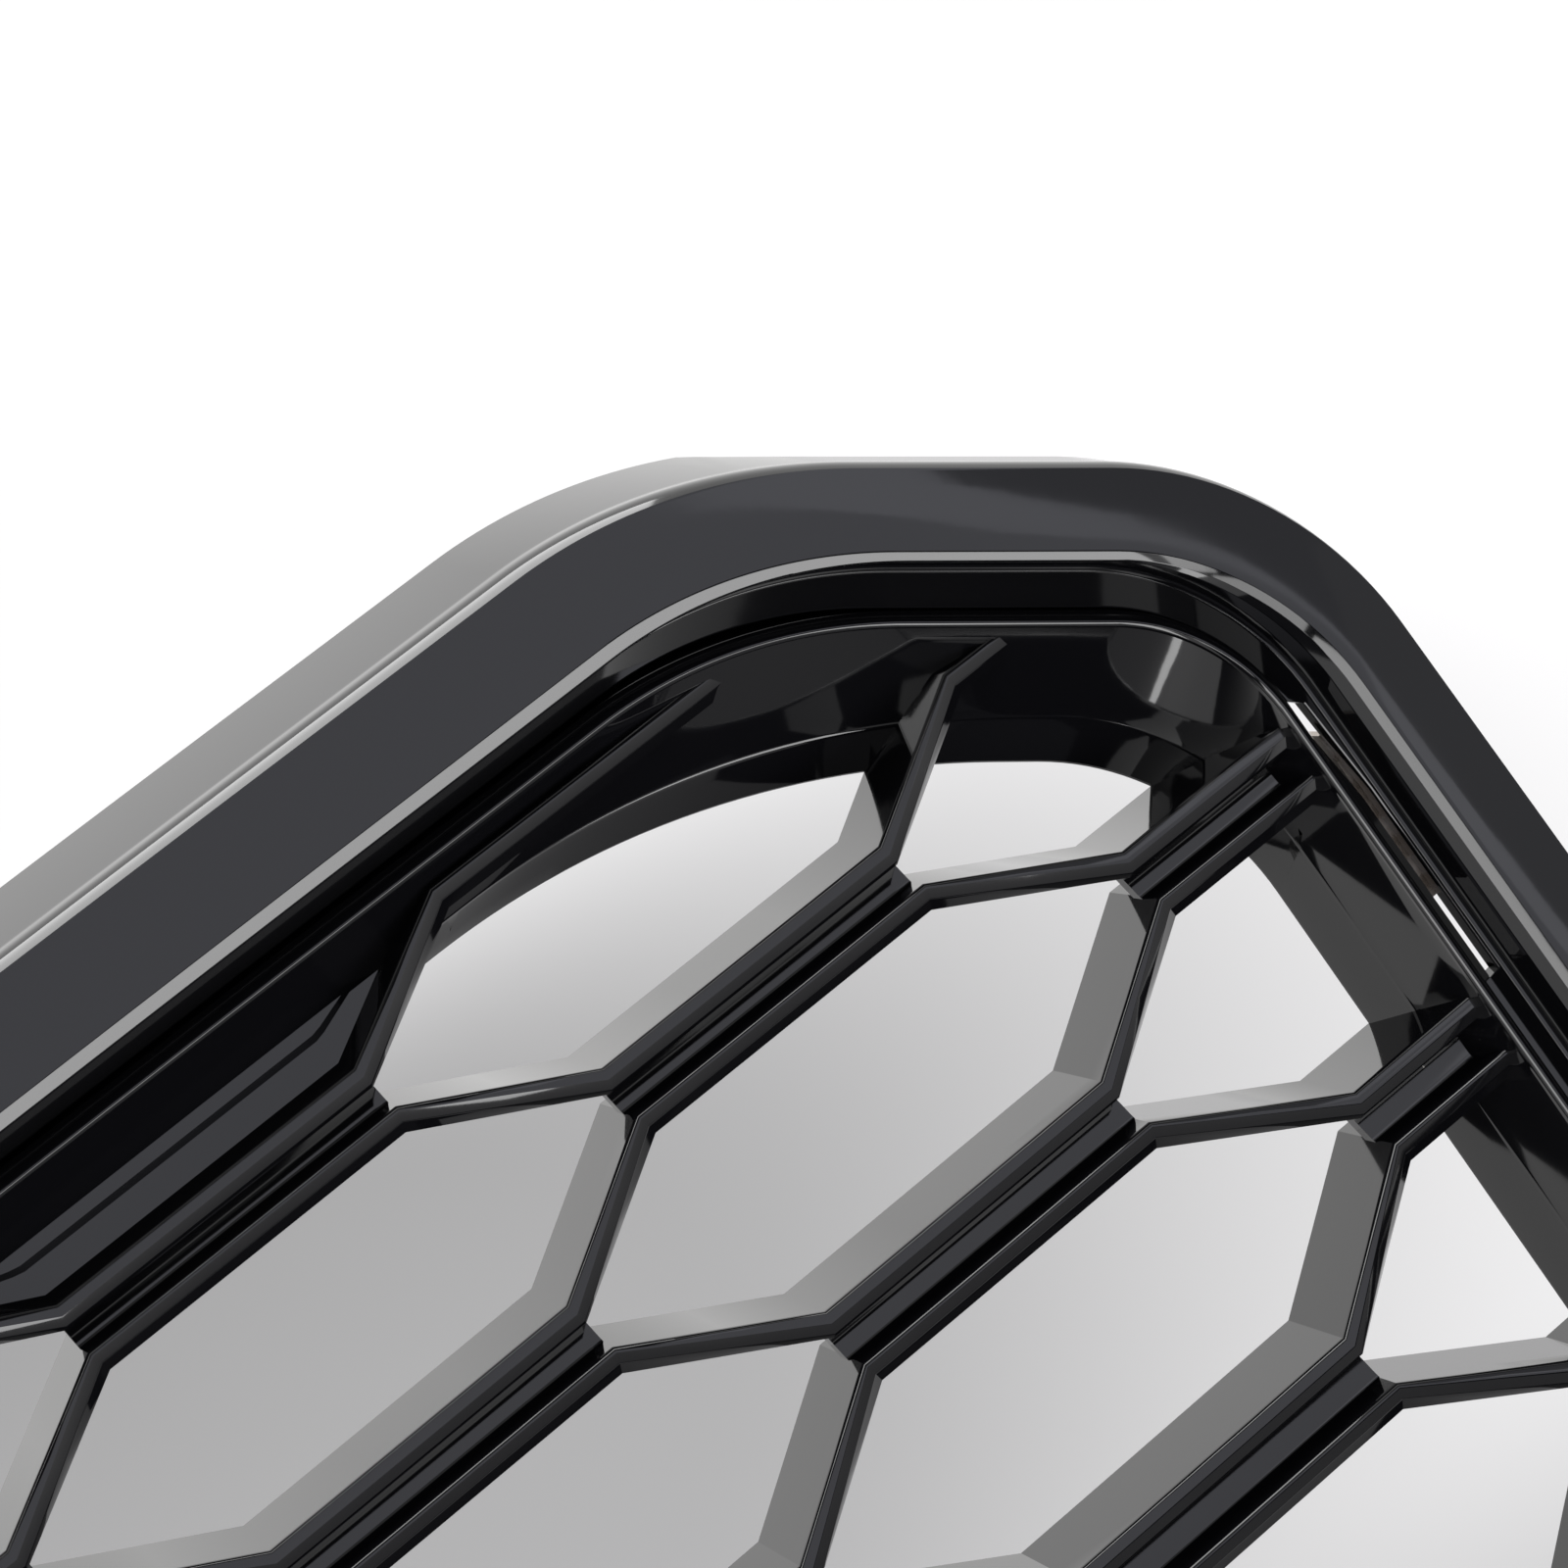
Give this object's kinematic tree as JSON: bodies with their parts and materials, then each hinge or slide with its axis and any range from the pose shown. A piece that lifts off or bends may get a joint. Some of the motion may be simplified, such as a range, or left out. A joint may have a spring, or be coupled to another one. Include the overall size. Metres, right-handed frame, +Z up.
{
  "type": "front grille",
  "caption": "Gloss-black front grille: smooth bezel frame with chamfered upper corners around a recessed honeycomb insert with double-ridged bars, and its fixings.",
  "frame": {"origin": "midpoint between the two upper fixing slots, at mid thickness of the bracket plates", "axes": "+X across the car towards the side at the viewer's right in front of it, +Y towards the rear of the car, +Z up; the visible face looks along -Y and leans back"},
  "size_m": [0.885, 0.1552, 0.2501],
  "materials": {
    "gloss_black_plastic": "high-gloss piano black injection-moulded ABS",
    "matte_black_plastic": "fine-textured black nylon",
    "black_screw_steel": "black-passivated steel",
    "bracket_steel": "black e-coated stamped steel",
    "spring_steel": "phosphated spring steel, dull brown-grey",
    "grommet_rubber": "matte EPDM rubber",
    "felt": "black needle felt tape"
  },
  "bodies": {
    "root": {"surround_frame": "gloss_black_plastic", "honeycomb_insert": "gloss_black_plastic", "insert_screws_top": "black_screw_steel", "insert_screws_bottom": "black_screw_steel", "insert_screws_left": "black_screw_steel", "insert_screws_right": "black_screw_steel", "bracket_screws_left": "black_screw_steel", "bracket_screws_right": "black_screw_steel", "lower_pin_screws": "black_screw_steel", "upper_bracket_left": "bracket_steel", "upper_bracket_right": "bracket_steel", "lower_pin_left": "matte_black_plastic", "lower_pin_right": "matte_black_plastic", "lower_grommet_left": "grommet_rubber", "lower_grommet_right": "grommet_rubber", "upper_edge_clips": "spring_steel", "lower_edge_clips": "spring_steel", "side_clip_left": "spring_steel", "side_clip_right": "spring_steel", "felt_strip_left": "felt", "felt_strip_right": "felt", "felt_strip_bottom": "felt"}
  },
  "joints": []
}
